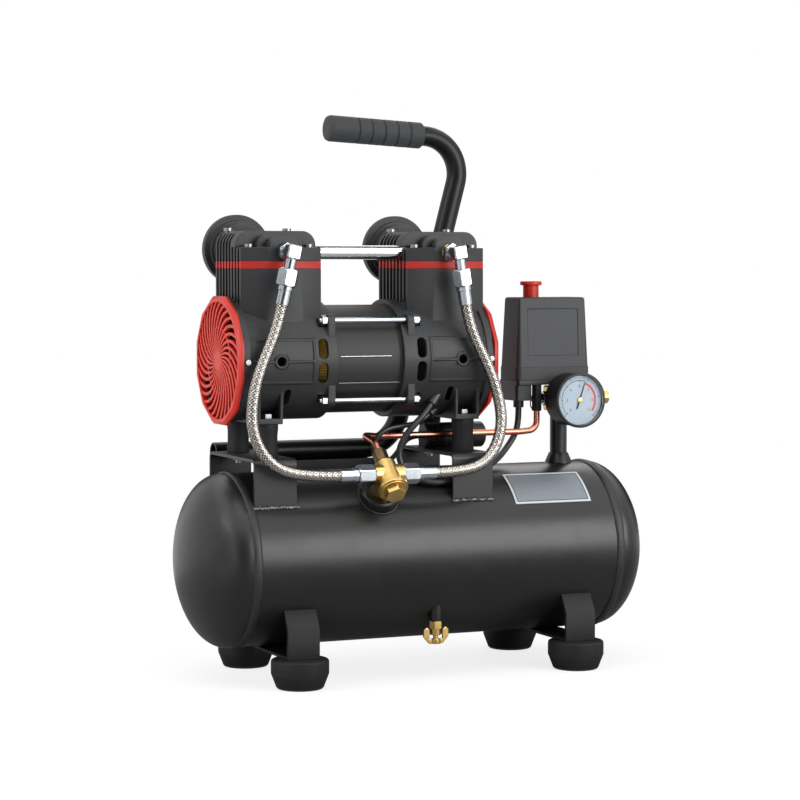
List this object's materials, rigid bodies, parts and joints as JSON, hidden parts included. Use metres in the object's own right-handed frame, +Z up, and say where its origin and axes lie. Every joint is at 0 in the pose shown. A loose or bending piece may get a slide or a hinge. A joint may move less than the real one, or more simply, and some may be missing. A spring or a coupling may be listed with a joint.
{
  "type": "air compressor",
  "caption": "Oil-free air compressor: black tank on rubber feet, twin-head motor pump with red fan covers, braided hoses, check valve, pressure switch with gauge, and a carrying handle.",
  "frame": {"origin": "on the floor, under the middle of the tank", "axes": "+X along the tank to the right, -Y to the front (hoses and gauge), +Z up"},
  "size_m": [0.4564, 0.1992, 0.5234],
  "materials": {
    "tank_black": "satin powder coat",
    "rubber_black": "matte moulded rubber",
    "cable_black": "satin cable sheath",
    "zinc_steel": "bright zinc plate",
    "machine_steel": "ground steel",
    "core_steel": "stacked laminations",
    "cast_iron": "cast",
    "cast_grey": "dark painted casting",
    "barrel_black": "fine-grained black",
    "bare_aluminium": "machined",
    "cup_plastic": "filled fluoropolymer",
    "red_plate": "red coated",
    "red_plastic": "moulded gloss red",
    "black_plastic": "moulded black",
    "cover_grey": "fine-textured dark grey",
    "brass": "turned brass",
    "copper": "drawn copper",
    "winding_copper": "varnished copper wire",
    "chrome_tube": "polished tube",
    "hose_braid": "braided stainless wire",
    "dial_white": "printed face",
    "needle_black": "satin",
    "lens_glass": "clear",
    "label_silver": "bare satin plate"
  },
  "bodies": {
    "frame": {"air_outlet": "brass", "cable_glands": "cable_black", "capacitor": "black_plastic", "capacitor_lead": "cable_black", "check_valve_body": "brass", "check_valve_cap": "brass", "crankcases": "cast_grey", "crossover_tube": "chrome_tube", "cylinder_heads": "cast_grey", "cylinder_sleeves": "bare_aluminium", "drain_body": "brass", "fan_covers": "red_plastic", "foot_straps": "tank_black", "gauge_case": "black_plastic", "gauge_dial": "dial_white", "gauge_lens": "lens_glass", "handle_grip": "rubber_black", "handle_tube": "tank_black", "hose_fittings": "zinc_steel", "hose_left": "hose_braid", "hose_right": "hose_braid", "intake_filters": "black_plastic", "label_plate": "label_silver", "main_bearings": "machine_steel", "manifold": "brass", "motor_barrel": "barrel_black", "motor_lead": "cable_black", "mount_bolts": "zinc_steel", "pump_brackets": "tank_black", "pump_screws": "zinc_steel", "riser_pipe": "tank_black", "rubber_dampers": "rubber_black", "rubber_feet": "rubber_black", "safety_valve": "zinc_steel", "stator_core": "core_steel", "stator_windings": "winding_copper", "switch_base": "black_plastic", "switch_contacts": "black_plastic", "switch_cover": "cover_grey", "tank_ends": "tank_black", "tank_shell": "tank_black", "tank_weldments": "tank_black", "tie_rods": "zinc_steel", "unloader_tube": "copper", "unloader_valve": "black_plastic", "valve_plates": "red_plate"},
    "rotor": {"motor_shaft": "machine_steel", "rotor_core": "core_steel", "cranks": "cast_iron", "cooling_fans": "black_plastic"},
    "rod_left": {"piston_left": "bare_aluminium", "rod_bearing_left": "machine_steel", "piston_cup_left": "cup_plastic"},
    "rod_right": {"piston_right": "bare_aluminium", "rod_bearing_right": "machine_steel", "piston_cup_right": "cup_plastic"},
    "needle": {"gauge_needle": "needle_black"},
    "knob": {"switch_knob": "red_plastic"},
    "drain_wing": {"drain_screw": "brass"},
    "relief_ring": {"safety_ring": "red_plastic"}
  },
  "joints": [
    {"name": "shaft_spin", "type": "hinge", "parent": "frame", "child": "rotor", "pos_m": [-0.061, 0, 0.2936], "axis": [1, 0, 0], "continuous": true},
    {"name": "rod_left_turn", "type": "hinge", "parent": "rotor", "child": "rod_left", "pos_m": [-0.143, 0, 0.2986], "axis": [1, 0, 0], "continuous": true},
    {"name": "rod_right_turn", "type": "hinge", "parent": "rotor", "child": "rod_right", "pos_m": [0.021, 0, 0.2886], "axis": [1, 0, 0], "continuous": true},
    {"name": "needle_turn", "type": "hinge", "parent": "frame", "child": "needle", "pos_m": [0.1573, -0.043, 0.252], "axis": [0, 1, 0], "range_deg": [-154, 116]},
    {"name": "knob_press", "type": "slide", "parent": "frame", "child": "knob", "axis": [0, 0, 1], "range_m": [-0.008, 0]},
    {"name": "drain_turn", "type": "hinge", "parent": "frame", "child": "drain_wing", "pos_m": [-0.002, -0.062, 0.04], "axis": [0, 0, 1], "range_deg": [0, 180]},
    {"name": "ring_pull", "type": "slide", "parent": "frame", "child": "relief_ring", "axis": [-1, 0, 0], "range_m": [0, 0.003], "stiffness_N_per_m": 400}
  ],
  "couplings": [
    {"joint": "rod_left_turn", "follows": "shaft_spin", "ratio": -1},
    {"joint": "rod_right_turn", "follows": "shaft_spin", "ratio": -1}
  ]
}
